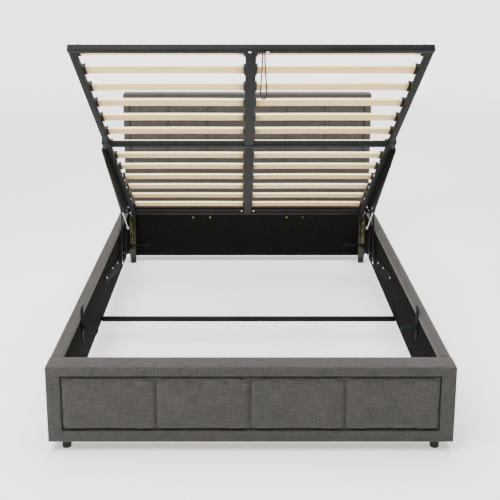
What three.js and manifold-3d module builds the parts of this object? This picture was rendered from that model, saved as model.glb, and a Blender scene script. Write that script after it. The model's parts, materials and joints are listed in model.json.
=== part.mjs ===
// A gas-lift storage bed with an upholstered surround, standing open.
// Millimetres, +Z up, +Y from the footboard to the headboard, +X to the right
// as seen from the foot. The origin is on the floor under the middle of the bed.
import * as THREE from 'three';
import { mergeVertices } from 'three/addons/utils/BufferGeometryUtils.js';
import Module from 'manifold-3d';

const wasm = await Module();
wasm.setup();

// Overall sizes
const bedLength = 2145;
const bedWidth = 1500;
const headboardWidth = 1456;
const headboardHeight = 1025;
const surroundHeight = 340;
const boardThickness = 85;
const gap = 0.3;

// Feet
const footHeight = 40;
const footRadius = 18;
const footSpread = 690;
const frontFootY = 42;

// Side rails
const railThickness = 45;
const railBottom = 85;
const railInner = bedWidth / 2 - railThickness;

// Head end: a thin closing panel between two corner legs
const panelThickness = 8;
const panelBottom = 35;
const panelTop = 335;
const legSize = 36;
const legDepth = 44;

// Upholstered insets of the two boards
const insetDepth = 30;
const insetMargin = 4;
const footInset = { halfWidth: 699, bottom: 84, top: 303 };
const headInset = { halfWidth: 694, bottom: 583, top: 998 };

// Platform frame, in its own frame: the head-end tube's centre is its origin,
// the foot end lies towards -Y and the slats lie towards +Z.
const tubeSize = 25;
const tubeWall = 1.5;
const platformWidth = 1320;
const platformReach = 1922;
const crossbarReach = 1021;
const centreRailWidth = 40;
const closedHead = { y: 2033, z: 290 };
const openHead = { y: 1800, z: 385 };
const openAngle = THREE.MathUtils.degToRad(34.5);

// Slats: thirteen pairs on holders above the tubes
const slatPairs = 13;
const slatWidth = 54;
const slatThickness = 12;
const slatPitch = 148.7;
const firstSlatReach = 87.5;
const slatLift = 15;
const slatOuterX = 648;
const slatInnerX = 17;

// Lift mechanism: reach from the head-end tube and drop below the tube centres
const plateThickness = 3;
const armThickness = 4;
const linkThickness = 5;
const linkWidth = 30;
const linkInnerX = 690;
const rearPivot = { reach: 60, drop: 20, baseZ: 140 };
const frontPivot = { reach: 160, drop: 20, baseZ: 160 };
const strutPivot = { reach: 960, drop: 0 };
const strutSeat = 170;
const plateNose = { y: 1125, z: 250 };
const strutX = 678;
const pinRadius = 6;
const armReach = 985;
const armDepth = 70;

// Gas strut
const rodRadius = 4;
const cylinderRadius = 10;
const cylinderLength = 720;
const boreDepth = 200;
const boreClearance = 0.5;
const rodOverlap = 25;
const eyeRadius = 9;
const eyeThickness = 10;

// Cross tube between the rails, and the brackets the closed platform rests on
const crossTube = { y: 980, z: 96, radius: 13, wall: 1.5 };
const restY = 490;
const restWidth = 44;
const restLedge = { top: 275, inner: 640 };
const restTop = 366;

// Pull strap: a thin cord loop under the foot-end tube
const strap = { x: 46, radius: 2.5, drop: 168, spread: 11, sides: 8 };

const materials = {
  linen: { color: 0x5d564f, roughness: 0.95, metalness: 0 },
  felt: { color: 0x1c1b19, roughness: 0.9, metalness: 0 },
  steel: { color: 0x2b2d2e, roughness: 0.5, metalness: 0.3 },
  zinc: { color: 0xb9babc, roughness: 0.3, metalness: 1 },
  plastic: { color: 0x111111, roughness: 0.5, metalness: 0 },
  birch: { color: 0xe0d6b4, roughness: 0.6, metalness: 0 },
  cord: { color: 0x131313, roughness: 0.9, metalness: 0 },
};

const bed = new THREE.Group();
bed.position.y = -bedLength / 2;

// Adds one named mesh to a group
function add(parent, name, geometry, finish) {
  const mesh = new THREE.Mesh(geometry, new THREE.MeshStandardMaterial(materials[finish]));
  mesh.name = name;
  parent.add(mesh);
  return mesh;
}

// A closed solid for the boolean library, from a geometry's positions only
function toSolid(geometry) {
  const bare = geometry.clone();
  bare.deleteAttribute('normal');
  bare.deleteAttribute('uv');
  const merged = mergeVertices(bare, 1e-3);
  const vertProperties = Float32Array.from(merged.attributes.position.array);
  const triVerts = Uint32Array.from(merged.index.array);
  return new wasm.Manifold(new wasm.Mesh({ numProp: 3, vertProperties, triVerts }));
}

function toGeometry(solid) {
  const mesh = solid.getMesh();
  const geometry = new THREE.BufferGeometry();
  geometry.setAttribute('position', new THREE.BufferAttribute(mesh.vertProperties, 3));
  geometry.setIndex(new THREE.BufferAttribute(mesh.triVerts, 1));
  return geometry;
}

function join(...geometries) {
  return toGeometry(geometries.map(toSolid).reduce((whole, next) => whole.add(next)));
}

function cut(body, tool) {
  return toGeometry(toSolid(body).subtract(toSolid(tool)));
}

// A box given by its lowest and highest corners
function block(low, high) {
  const size = high.map((value, axis) => value - low[axis]);
  const centre = high.map((value, axis) => (value + low[axis]) / 2);
  return new THREE.BoxGeometry(...size).translate(...centre);
}

// A round bar along X between two X positions
function barX(radius, fromX, toX, y, z, sides = 20) {
  const bar = new THREE.CylinderGeometry(radius, radius, Math.abs(toX - fromX), sides);
  return bar.rotateZ(Math.PI / 2).translate((fromX + toX) / 2, y, z);
}

// A flat plate of a YZ outline, from inner to outer X
function plateX(shape, innerX, thickness) {
  const plate = new THREE.ExtrudeGeometry(shape, { depth: thickness, bevelEnabled: false });
  const turn = new THREE.Matrix4().makeBasis(
    new THREE.Vector3(0, 1, 0),
    new THREE.Vector3(0, 0, 1),
    new THREE.Vector3(1, 0, 0),
  );
  return plate.applyMatrix4(turn).translate(innerX, 0, 0);
}

// A rectangular tube along Y, open at both ends
function tubeY(width, height, wall, fromY, toY) {
  const outline = new THREE.Shape();
  const bore = new THREE.Path();
  outline.moveTo(-width / 2, -height / 2).lineTo(width / 2, -height / 2);
  outline.lineTo(width / 2, height / 2).lineTo(-width / 2, height / 2).closePath();
  bore.moveTo(wall - width / 2, wall - height / 2).lineTo(width / 2 - wall, wall - height / 2);
  bore.lineTo(width / 2 - wall, height / 2 - wall).lineTo(wall - width / 2, height / 2 - wall);
  bore.closePath();
  outline.holes.push(bore);
  const tube = new THREE.ExtrudeGeometry(outline, { depth: toY - fromY, bevelEnabled: false });
  return tube.rotateX(Math.PI / 2).translate(0, toY, 0);
}

// The same tube along X, centred on X = 0
function tubeX(length, width, wall, y) {
  return tubeY(width, width, wall, -length / 2, length / 2).rotateZ(Math.PI / 2).translate(0, y, 0);
}

// Copies a right-hand geometry to the left with its faces still pointing out
function mirrored(geometry) {
  const copy = (geometry.index ? geometry.toNonIndexed() : geometry.clone()).scale(-1, 1, 1);
  const position = copy.attributes.position;
  const corner = new THREE.Vector3();
  const other = new THREE.Vector3();
  for (let index = 0; index < position.count; index += 3) {
    corner.fromBufferAttribute(position, index);
    other.fromBufferAttribute(position, index + 1);
    position.setXYZ(index, ...other.toArray());
    position.setXYZ(index + 1, ...corner.toArray());
  }
  return copy;
}

// Adds the right-hand piece and its left-hand twin
function addPair(parent, name, geometry, finish) {
  add(parent, `right_${name}`, geometry, finish);
  add(parent, `left_${name}`, mirrored(geometry), finish);
}

// Places a point of the platform, given by reach and drop, for either end of the travel.
// Such a flat point's x is the bed's Y and its y is the bed's Z.
function closedPoint(pivot) {
  return new THREE.Vector2(closedHead.y - pivot.reach, closedHead.z - pivot.drop);
}

function openPoint(pivot) {
  const offset = new THREE.Vector2(-pivot.reach, -pivot.drop);
  offset.rotateAround(new THREE.Vector2(), -openAngle);
  return offset.add(new THREE.Vector2(openHead.y, openHead.z));
}

// The fixed pivot at a chosen height that is equally far from both ends of the travel
function basePoint(pivot) {
  const closed = closedPoint(pivot);
  const open = openPoint(pivot);
  const middle = closed.clone().add(open).multiplyScalar(0.5);
  const travel = open.clone().sub(closed);
  const along = (pivot.baseZ - middle.y) / travel.x;
  return new THREE.Vector2(middle.x - along * travel.y, pivot.baseZ);
}

// A bar outline with round ends between two YZ points
function linkShape(from, to, width) {
  const angle = Math.atan2(to.y - from.y, to.x - from.x);
  const shape = new THREE.Shape();
  shape.absarc(from.x, from.y, width / 2, angle + Math.PI / 2, angle - Math.PI / 2, false);
  shape.absarc(to.x, to.y, width / 2, angle - Math.PI / 2, angle + Math.PI / 2, false);
  shape.closePath();
  return shape;
}

// An upholstered board with a shallow pocket in its foot-side face
function pocketBoard(width, bottom, top, frontY, inset) {
  const board = block(
    [-width / 2, frontY, bottom],
    [width / 2, frontY + boardThickness, top],
  );
  const pocket = block(
    [-inset.halfWidth, frontY - 1, inset.bottom],
    [inset.halfWidth, frontY + insetDepth, inset.top],
  );
  return cut(board, pocket);
}

// The padded inset that fills a board's pocket
function insetPad(frontY, inset) {
  return block(
    [insetMargin - inset.halfWidth, frontY, inset.bottom + insetMargin],
    [inset.halfWidth - insetMargin, frontY + insetDepth - gap, inset.top - insetMargin],
  );
}

// A tapered plastic foot
function foot(x, y, top) {
  const body = new THREE.CylinderGeometry(footRadius, footRadius - 1, top, 24);
  return body.rotateX(Math.PI / 2).translate(x, y, top / 2);
}

function addSurround() {
  const headY = bedLength - boardThickness;
  const footBoard = pocketBoard(bedWidth, footHeight, surroundHeight, 0, footInset);
  add(bed, 'footboard', footBoard, 'linen');
  add(bed, 'footboard_padding', insetPad(0, footInset), 'linen');
  const headBoard = pocketBoard(headboardWidth, footHeight, headboardHeight, headY, headInset);
  add(bed, 'headboard', headBoard, 'linen');
  add(bed, 'headboard_padding', insetPad(headY, headInset), 'linen');
  const rail = block(
    [railInner, boardThickness + gap, railBottom],
    [bedWidth / 2, headY - gap, surroundHeight],
  );
  addPair(bed, 'side_rail', rail, 'linen');
  const panel = block(
    [gap - railInner, headY - panelThickness, panelBottom],
    [railInner - gap, headY - gap, panelTop],
  );
  add(bed, 'head_panel', panel, 'felt');
  const legFront = headY - panelThickness - gap - legDepth;
  const post = block(
    [railInner - gap - legSize, legFront, footHeight],
    [railInner - gap, legFront + legDepth, panelTop],
  );
  const legFoot = foot(railInner - gap - legSize / 2, legFront + legDepth / 2, footHeight + 1);
  addPair(bed, 'corner_leg', join(post, legFoot), 'plastic');
  addPair(bed, 'front_foot', foot(footSpread, frontFootY, footHeight - gap), 'plastic');
}

// The tube that ties the rails together, open at both ends
function addCrossTube() {
  const outline = new THREE.Shape().absarc(0, 0, crossTube.radius, 0, 2 * Math.PI, false);
  const inner = crossTube.radius - crossTube.wall;
  outline.holes.push(new THREE.Path().absarc(0, 0, inner, 0, 2 * Math.PI, true));
  const length = 2 * (railInner - gap);
  const tube = new THREE.ExtrudeGeometry(outline, {
    depth: length,
    bevelEnabled: false,
    curveSegments: 20,
  });
  tube.translate(0, 0, -length / 2).rotateY(Math.PI / 2).translate(0, crossTube.y, crossTube.z);
  add(bed, 'cross_tube', tube, 'steel');
}

// An angle bracket: a tall leg on the rail and a ledge under the closed platform
function addRestBrackets() {
  const outer = railInner - gap;
  const leg = block(
    [outer - plateThickness, restY - restWidth / 2, restLedge.top - 60],
    [outer, restY + restWidth / 2, restTop],
  );
  const ledge = block(
    [restLedge.inner, restY - restWidth / 2, restLedge.top - plateThickness],
    [outer - 1, restY + restWidth / 2, restLedge.top],
  );
  const lip = block(
    [restLedge.inner, restY - restWidth / 2, restLedge.top - 25],
    [restLedge.inner + plateThickness, restY + restWidth / 2, restLedge.top - 1],
  );
  addPair(bed, 'rest_bracket', join(leg, ledge, lip), 'steel');
}

// The fixed plate on the rail that carries both links' base pivots
function addBasePlates() {
  const outer = railInner - gap;
  const inner = outer - plateThickness;
  const rear = basePoint(rearPivot);
  const front = basePoint(frontPivot);
  const shape = new THREE.Shape();
  shape.absarc(rear.x, rear.y, 28, -Math.PI / 2, Math.PI / 2, false);
  shape.lineTo(front.x, front.y + 40);
  shape.absarc(plateNose.y, plateNose.z, 22, Math.PI / 2, 1.4 * Math.PI, false);
  shape.lineTo(front.x - 60, front.y - 35);
  shape.closePath();
  addPair(bed, 'base_plate', plateX(shape, inner, plateThickness), 'steel');
}

// The point along the rear link where the strut's rod is pinned
function strutFoot() {
  const base = basePoint(rearPivot);
  const top = openPoint(rearPivot);
  return base.clone().lerp(top, strutSeat / base.distanceTo(top));
}

// A flat link with a pin at each end: outwards to the base plate, inwards to the arm
function addLinks(name, pivot, extraPins = []) {
  const base = basePoint(pivot);
  const top = openPoint(pivot);
  const plateInner = railInner - gap - plateThickness;
  const armOuter = platformWidth / 2 + gap + armThickness;
  const bar = plateX(linkShape(base, top, linkWidth), linkInnerX, linkThickness);
  const basePin = barX(pinRadius, linkInnerX + 1, plateInner - gap, base.x, base.y);
  const topPin = barX(pinRadius, armOuter + gap, linkInnerX + 1, top.x, top.y);
  addPair(bed, name, join(bar, basePin, topPin, ...extraPins), 'steel');
}

// Turns a strut piece built along +Y from the origin onto the line from base to top
function alongStrut(geometry) {
  const top = openPoint(strutPivot);
  const foot = strutFoot();
  const angle = Math.atan2(top.y - foot.y, top.x - foot.x);
  return geometry.rotateX(angle).translate(strutX, foot.x, foot.y);
}

function addStruts() {
  const top = openPoint(strutPivot);
  const length = top.distanceTo(strutFoot());
  const eye = (y) => barX(eyeRadius, -eyeThickness / 2, eyeThickness / 2, y, 0);
  const barrelStart = length - cylinderLength;
  const barrelEnd = length - 2 * eyeRadius;
  const rodEnd = barrelStart + rodOverlap;
  const rod = new THREE.CylinderGeometry(rodRadius, rodRadius, rodEnd, 16).translate(0, rodEnd / 2, 0);
  addPair(bed, 'strut_rod', alongStrut(join(eye(0), rod)), 'zinc');
  const bore = rodRadius + boreClearance;
  const profile = [
    [bore, barrelStart],
    [cylinderRadius, barrelStart],
    [cylinderRadius, barrelEnd],
    [0, barrelEnd],
    [0, barrelStart + boreDepth],
    [bore, barrelStart + boreDepth],
    [bore, barrelStart],
  ].map(([radius, along]) => new THREE.Vector2(radius, along));
  const barrel = new THREE.LatheGeometry(profile, 20);
  const neck = new THREE.CylinderGeometry(rodRadius, rodRadius, 2 * eyeRadius + 2, 16);
  neck.translate(0, length - eyeRadius - 1, 0);
  const armOuter = platformWidth / 2 + gap + armThickness;
  const pin = barX(pinRadius - 1, armOuter + gap - strutX, 0, length, 0);
  addPair(bed, 'strut_cylinder', alongStrut(join(barrel, neck, eye(length), pin)), 'steel');
}

const platform = new THREE.Group();
platform.position.set(0, openHead.y, openHead.z);
platform.rotation.x = -openAngle;
bed.add(platform);

function addPlatformFrame() {
  const half = tubeSize / 2;
  add(platform, 'head_end_tube', tubeX(platformWidth, tubeSize, tubeWall, 0), 'steel');
  const footTube = tubeX(platformWidth, tubeSize, tubeWall, -platformReach);
  add(platform, 'foot_end_tube', footTube, 'steel');
  const sideTube = tubeY(tubeSize, tubeSize, tubeWall, half + gap - platformReach, -half - gap);
  sideTube.translate(platformWidth / 2 - half, 0, 0);
  addPair(platform, 'side_tube', sideTube, 'steel');
  const crossLength = platformWidth - 2 * tubeSize - 2 * gap;
  const crossbar = tubeX(crossLength, tubeSize, tubeWall, -crossbarReach);
  add(platform, 'middle_crossbar', crossbar, 'steel');
  const headHalf = [half + gap - crossbarReach, -half - gap];
  const footHalf = [half + gap - platformReach, -half - gap - crossbarReach];
  const railPart = (span) => tubeY(centreRailWidth, tubeSize, tubeWall, ...span);
  add(platform, 'centre_rail_head_half', railPart(headHalf), 'steel');
  add(platform, 'centre_rail_foot_half', railPart(footHalf), 'steel');
}

function addSlats() {
  for (let pair = 0; pair < slatPairs; pair += 1) {
    const middle = -(firstSlatReach + pair * slatPitch);
    const slat = block(
      [slatInnerX, middle - slatWidth / 2, slatLift],
      [slatOuterX, middle + slatWidth / 2, slatLift + slatThickness],
    );
    addPair(platform, `slat_${String(pair + 1).padStart(2, '0')}`, slat, 'birch');
  }
}

// The plate bolted along the side tube that carries the three pivots
function addLiftArms() {
  const half = tubeSize / 2;
  const shape = new THREE.Shape();
  shape.moveTo(-18, half).lineTo(-armReach, half).lineTo(-armReach, -half - 8);
  shape.lineTo(60 - armReach, -armDepth).lineTo(-frontPivot.reach - 80, -armDepth);
  shape.lineTo(-frontPivot.reach - 20, -frontPivot.drop - 20);
  shape.lineTo(-rearPivot.reach + 20, -rearPivot.drop - 20).lineTo(-18, -half).closePath();
  const arm = plateX(shape, platformWidth / 2 + gap, armThickness);
  addPair(platform, 'lift_arm', arm, 'steel');
}

// The pull strap's loop hangs straight down from the foot-end tube at rest
function addPullStrap() {
  const end = new THREE.Vector3(0, -platformReach, -tubeSize / 2 - gap);
  end.applyAxisAngle(new THREE.Vector3(1, 0, 0), -openAngle);
  const top = new THREE.Vector3(strap.x, end.y + openHead.y, end.z + openHead.z);
  const points = [
    [-0.35, 0], [-0.4, 0.12], [-0.5, 0.3], [-0.7, 0.5], [-0.92, 0.7], [-1, 0.86], [-0.72, 0.96],
    [0, 1], [0.72, 0.96], [1, 0.86], [0.92, 0.7], [0.7, 0.5], [0.5, 0.3], [0.4, 0.12], [0.35, 0],
  ].map(([across, down]) => new THREE.Vector3(
    top.x + across * strap.spread,
    top.y,
    top.z - 4 - down * strap.drop,
  ));
  const section = new THREE.Shape();
  for (let side = 0; side < strap.sides; side += 1) {
    const angle = (2 * Math.PI * side) / strap.sides;
    const corner = [strap.radius * Math.cos(angle), strap.radius * Math.sin(angle)];
    if (side === 0) section.moveTo(...corner);
    else section.lineTo(...corner);
  }
  section.closePath();
  const route = new THREE.CatmullRomCurve3(points);
  const loop = new THREE.ExtrudeGeometry(section, { steps: 40, extrudePath: route });
  add(bed, 'pull_strap', loop, 'cord');
}

addSurround();
addCrossTube();
addRestBrackets();
addBasePlates();
const seat = strutFoot();
const strutPin = barX(pinRadius, strutX + eyeThickness / 2 + gap, linkInnerX + 1, seat.x, seat.y);
addLinks('rear_link', rearPivot, [strutPin]);
addLinks('front_link', frontPivot);
addStruts();
addPlatformFrame();
addSlats();
addLiftArms();
addPullStrap();

export default bed;
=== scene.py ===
import json
import math

import bmesh
import bpy
import numpy as np
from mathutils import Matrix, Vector


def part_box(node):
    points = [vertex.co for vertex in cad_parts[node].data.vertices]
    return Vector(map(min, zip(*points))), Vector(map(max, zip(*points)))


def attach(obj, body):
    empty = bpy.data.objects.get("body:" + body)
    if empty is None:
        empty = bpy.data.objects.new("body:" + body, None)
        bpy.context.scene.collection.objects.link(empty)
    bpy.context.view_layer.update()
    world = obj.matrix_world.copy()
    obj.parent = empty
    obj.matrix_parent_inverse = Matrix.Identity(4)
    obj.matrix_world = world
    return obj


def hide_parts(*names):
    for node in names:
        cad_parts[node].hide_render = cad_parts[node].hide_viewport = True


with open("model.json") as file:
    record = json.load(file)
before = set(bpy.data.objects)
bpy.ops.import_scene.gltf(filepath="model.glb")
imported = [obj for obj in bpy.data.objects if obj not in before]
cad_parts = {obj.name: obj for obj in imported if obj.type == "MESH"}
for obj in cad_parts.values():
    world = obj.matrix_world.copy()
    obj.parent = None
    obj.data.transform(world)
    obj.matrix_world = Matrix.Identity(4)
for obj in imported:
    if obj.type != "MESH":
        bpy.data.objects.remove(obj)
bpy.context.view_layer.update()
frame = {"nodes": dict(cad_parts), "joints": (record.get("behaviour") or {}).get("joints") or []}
mm = 0.001
print("frame loaded")


# Places read from the frame

def corners(node):
    low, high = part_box(node)
    return np.array(low), np.array(high)


def middle(node):
    low, high = corners(node)
    return (low + high) / 2


headTube = middle("head_end_tube")
footTube = middle("foot_end_tube")
tilt = math.atan2(footTube[2] - headTube[2], headTube[1] - footTube[1])
platformReach = math.hypot(footTube[2] - headTube[2], headTube[1] - footTube[1])
platformHalf = corners("head_end_tube")[1][0]
tubeSize = 25 * mm


def onPlatform(points):
    # (across, reach, rise) becomes (x, y, z): reach runs down the tilted frame to its
    # foot end, rise is square to it on the slats' side
    across, reach, rise = np.moveaxis(np.asarray(points, float), -1, 0)
    y = headTube[1] - reach * math.cos(tilt) + rise * math.sin(tilt)
    z = headTube[2] + reach * math.sin(tilt) + rise * math.cos(tilt)
    return np.stack([across, y, z], -1)


# Camera and floor

cameraView = {
    "lens": 60.94,
    "place": (-0.035, -3.9075, 1.781),
    "pitchDown": 11.9,
    "shiftX": 0.0174,
    "shiftY": -0.22,
}


def makeCamera():
    data = bpy.data.cameras.new("camera")
    data.lens = cameraView["lens"]
    data.shift_x = cameraView["shiftX"]
    data.shift_y = cameraView["shiftY"]
    camera = bpy.data.objects.new("camera", data)
    bpy.context.scene.collection.objects.link(camera)
    camera.location = cameraView["place"]
    camera.rotation_euler = (math.radians(90 - cameraView["pitchDown"]), 0, 0)
    bpy.context.scene.camera = camera


makeCamera()


# Materials. A node's inputs are given by name: a socket is linked, a value is set.

def toLinear(hexColour):
    # sRGB to linear: a straight part near black, then the 2.4 power
    srgb = np.array([int(hexColour[i:i + 2], 16) / 255 for i in (0, 2, 4)])
    low = srgb / 12.92
    high = ((srgb + 0.055) / 1.055) ** 2.4
    return (*np.where(srgb <= 0.04045, low, high), 1.0)


def addNode(tree, kind, inputs=None, **settings):
    made = tree.nodes.new(kind)
    for name, value in settings.items():
        setattr(made, name, value)
    for name, value in (inputs or {}).items():
        if isinstance(value, bpy.types.NodeSocket):
            tree.links.new(value, made.inputs[name])
        else:
            made.inputs[name].default_value = value
    return made


def newMaterial(name):
    material = bpy.data.materials.new(name)
    material.use_nodes = True
    tree = material.node_tree
    return material, tree, tree.nodes["Principled BSDF"]


def setShader(shader, **values):
    for name, value in values.items():
        shader.inputs[name].default_value = value


def ramp(tree, fac, low, high, lowAt=0.0, highAt=1.0):
    made = addNode(tree, "ShaderNodeValToRGB", {"Fac": fac})
    made.color_ramp.elements[0].position = lowAt
    made.color_ramp.elements[0].color = low
    made.color_ramp.elements[1].position = highAt
    made.color_ramp.elements[1].color = high
    return made.outputs["Color"]


def mapped(tree, source, scale, turn=0.0):
    return addNode(tree, "ShaderNodeMapping", {
        "Vector": source, "Scale": scale, "Rotation": (0, 0, turn),
    }).outputs["Vector"]


def math2(tree, operation, first, second):
    return addNode(tree, "ShaderNodeMath", {0: first, 1: second}, operation=operation).outputs[0]


linenLook = {
    "dark": "151413",
    "light": "413e3b",
    "threadMm": 2.6,
    "slubMm": (60, 3.6),
    "bump": 0.6,
}


def makeLinen():
    # Woven polyester linen: matt, flecked grey-brown, with long slubs in the weft.
    # Its threads are really 0.8 mm apart and are drawn 2.6 mm apart so that they show.
    material, tree, shader = newMaterial("wovenLinen")
    uv = addNode(tree, "ShaderNodeUVMap", uv_map="weave").outputs["UV"]
    perMetre = 1 / (linenLook["threadMm"] * mm)
    grid = mapped(tree, uv, (perMetre, perMetre, 1))
    warp = addNode(tree, "ShaderNodeTexWave", {
        "Vector": grid, "Scale": 1 / math.tau * math.pi, "Distortion": 0.6, "Detail Scale": 0.4,
    }, bands_direction="X")
    weft = addNode(tree, "ShaderNodeTexWave", {
        "Vector": grid, "Scale": 1 / math.tau * math.pi, "Distortion": 0.6, "Detail Scale": 0.4,
    }, bands_direction="Y")
    threads = math2(tree, "MAXIMUM", warp.outputs["Fac"], weft.outputs["Fac"])
    slubLong, slubWide = linenLook["slubMm"]
    weftSlub = addNode(tree, "ShaderNodeTexNoise", {
        "Vector": mapped(tree, uv, (1000 / slubLong, 1000 / slubWide, 1)),
        "Scale": 1.0, "Detail": 3.0, "Roughness": 0.65,
    }).outputs["Fac"]
    warpSlub = addNode(tree, "ShaderNodeTexNoise", {
        "Vector": mapped(tree, uv, (1000 / slubWide, 1000 / slubLong, 1)),
        "Scale": 1.0, "Detail": 3.0, "Roughness": 0.65,
    }).outputs["Fac"]
    slub = addNode(tree, "ShaderNodeMix", {
        "Factor": 0.44, "A": weftSlub, "B": warpSlub,
    }, data_type="FLOAT").outputs["Result"]
    broad = addNode(tree, "ShaderNodeTexNoise", {
        "Vector": uv, "Scale": 9.0, "Detail": 2.0,
    }).outputs["Fac"]
    fleck = math2(tree, "ADD", math2(tree, "MULTIPLY", slub, 0.82),
                  math2(tree, "MULTIPLY", threads, 0.16))
    tone = math2(tree, "ADD", fleck, math2(tree, "MULTIPLY", broad, 0.10))
    colour = ramp(tree, tone, toLinear(linenLook["dark"]), toLinear(linenLook["light"]), 0.40, 0.72)
    height = math2(tree, "ADD", math2(tree, "MULTIPLY", threads, 0.6), slub)
    bump = addNode(tree, "ShaderNodeBump", {
        "Height": height, "Strength": linenLook["bump"], "Distance": 0.0006,
    })
    tree.links.new(colour, shader.inputs["Base Color"])
    tree.links.new(bump.outputs["Normal"], shader.inputs["Normal"])
    setShader(shader, Roughness=0.92, IOR=1.5)
    setShader(shader, **{"Sheen Weight": 0.12, "Sheen Roughness": 0.45})
    return material


feltLook = {"dark": "0b0b0a", "light": "191817", "fibreMm": 1.6}


def makeFelt():
    # Non-woven polypropylene lining: black, dry, with a faint web of fibres.
    material, tree, shader = newMaterial("nonWovenLining")
    place = addNode(tree, "ShaderNodeTexCoord").outputs["Object"]
    fibre = addNode(tree, "ShaderNodeTexNoise", {
        "Vector": place, "Scale": 1000 / feltLook["fibreMm"] / 6, "Detail": 5.0, "Roughness": 0.7,
        "Distortion": 1.2,
    }).outputs["Fac"]
    colour = ramp(tree, fibre, toLinear(feltLook["dark"]), toLinear(feltLook["light"]), 0.35, 0.7)
    bump = addNode(tree, "ShaderNodeBump", {"Height": fibre, "Strength": 0.3, "Distance": 0.0004})
    tree.links.new(colour, shader.inputs["Base Color"])
    tree.links.new(bump.outputs["Normal"], shader.inputs["Normal"])
    setShader(shader, Roughness=0.9, IOR=1.49)
    setShader(shader, **{"Specular IOR Level": 0.03})
    return material


coatLook = {"deep": "08090a", "shown": "101315", "peelMm": 2.2}


def makePowderCoat(name, low, high, shine):
    # Steel with a charcoal powder coat: a fine orange peel. The roughness drifts from low
    # to high, and shine is how strongly it catches the light.
    material, tree, shader = newMaterial(name)
    place = addNode(tree, "ShaderNodeTexCoord").outputs["Object"]
    peel = addNode(tree, "ShaderNodeTexNoise", {
        "Vector": place, "Scale": 1000 / coatLook["peelMm"] / 3, "Detail": 2.0,
    }).outputs["Fac"]
    broad = addNode(tree, "ShaderNodeTexNoise", {
        "Vector": place, "Scale": 7.0, "Detail": 3.0,
    }).outputs["Fac"]
    colour = ramp(tree, broad, toLinear(coatLook["deep"]), toLinear(coatLook["shown"]), 0.35, 0.65)
    rough = addNode(tree, "ShaderNodeMapRange", {"Value": broad, "To Min": low, "To Max": high})
    bump = addNode(tree, "ShaderNodeBump", {"Height": peel, "Strength": 0.18, "Distance": 0.0003})
    tree.links.new(colour, shader.inputs["Base Color"])
    tree.links.new(rough.outputs["Result"], shader.inputs["Roughness"])
    tree.links.new(bump.outputs["Normal"], shader.inputs["Normal"])
    setShader(shader, IOR=1.5)
    setShader(shader, **{"Specular IOR Level": shine})
    return material


def makePlated(name, low, high, rough, streakMm):
    # A plated steel part: the two colours drift over it, and short streaks roughen it.
    material, tree, shader = newMaterial(name)
    place = addNode(tree, "ShaderNodeTexCoord").outputs["Object"]
    drift = addNode(tree, "ShaderNodeTexNoise", {
        "Vector": place, "Scale": 38.0, "Detail": 3.0,
    }).outputs["Fac"]
    streak = addNode(tree, "ShaderNodeTexNoise", {
        "Vector": mapped(tree, place, (1, 1, 0.12)), "Scale": 1000 / streakMm, "Detail": 2.0,
    }).outputs["Fac"]
    spread = addNode(tree, "ShaderNodeMapRange", {
        "Value": streak, "To Min": rough * 0.75, "To Max": rough * 1.3,
    })
    tree.links.new(ramp(tree, drift, toLinear(low), toLinear(high), 0.35, 0.65),
                   shader.inputs["Base Color"])
    tree.links.new(spread.outputs["Result"], shader.inputs["Roughness"])
    setShader(shader, Metallic=1.0)
    return material


def makePlastic():
    # Injection-moulded polypropylene: black, slightly waxy, with a fine spark texture.
    material, tree, shader = newMaterial("mouldedPolypropylene")
    place = addNode(tree, "ShaderNodeTexCoord").outputs["Object"]
    grain = addNode(tree, "ShaderNodeTexNoise", {
        "Vector": place, "Scale": 420.0, "Detail": 2.0,
    }).outputs["Fac"]
    bump = addNode(tree, "ShaderNodeBump", {"Height": grain, "Strength": 0.2, "Distance": 0.0002})
    colour = ramp(tree, grain, toLinear("070707"), toLinear("101010"), 0.3, 0.7)
    tree.links.new(colour, shader.inputs["Base Color"])
    tree.links.new(bump.outputs["Normal"], shader.inputs["Normal"])
    setShader(shader, Roughness=0.5, IOR=1.49)
    setShader(shader, **{"Specular IOR Level": 0.3})
    return material


birchLook = {
    "pale": "e8cf96",
    "deep": "cba466",
    "litEdgeHighlight": "ffe9ac",
    "growthMm": (170, 5.5),
    "plyMm": 1.5,
    "glueLine": "b39a68",
}


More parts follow.
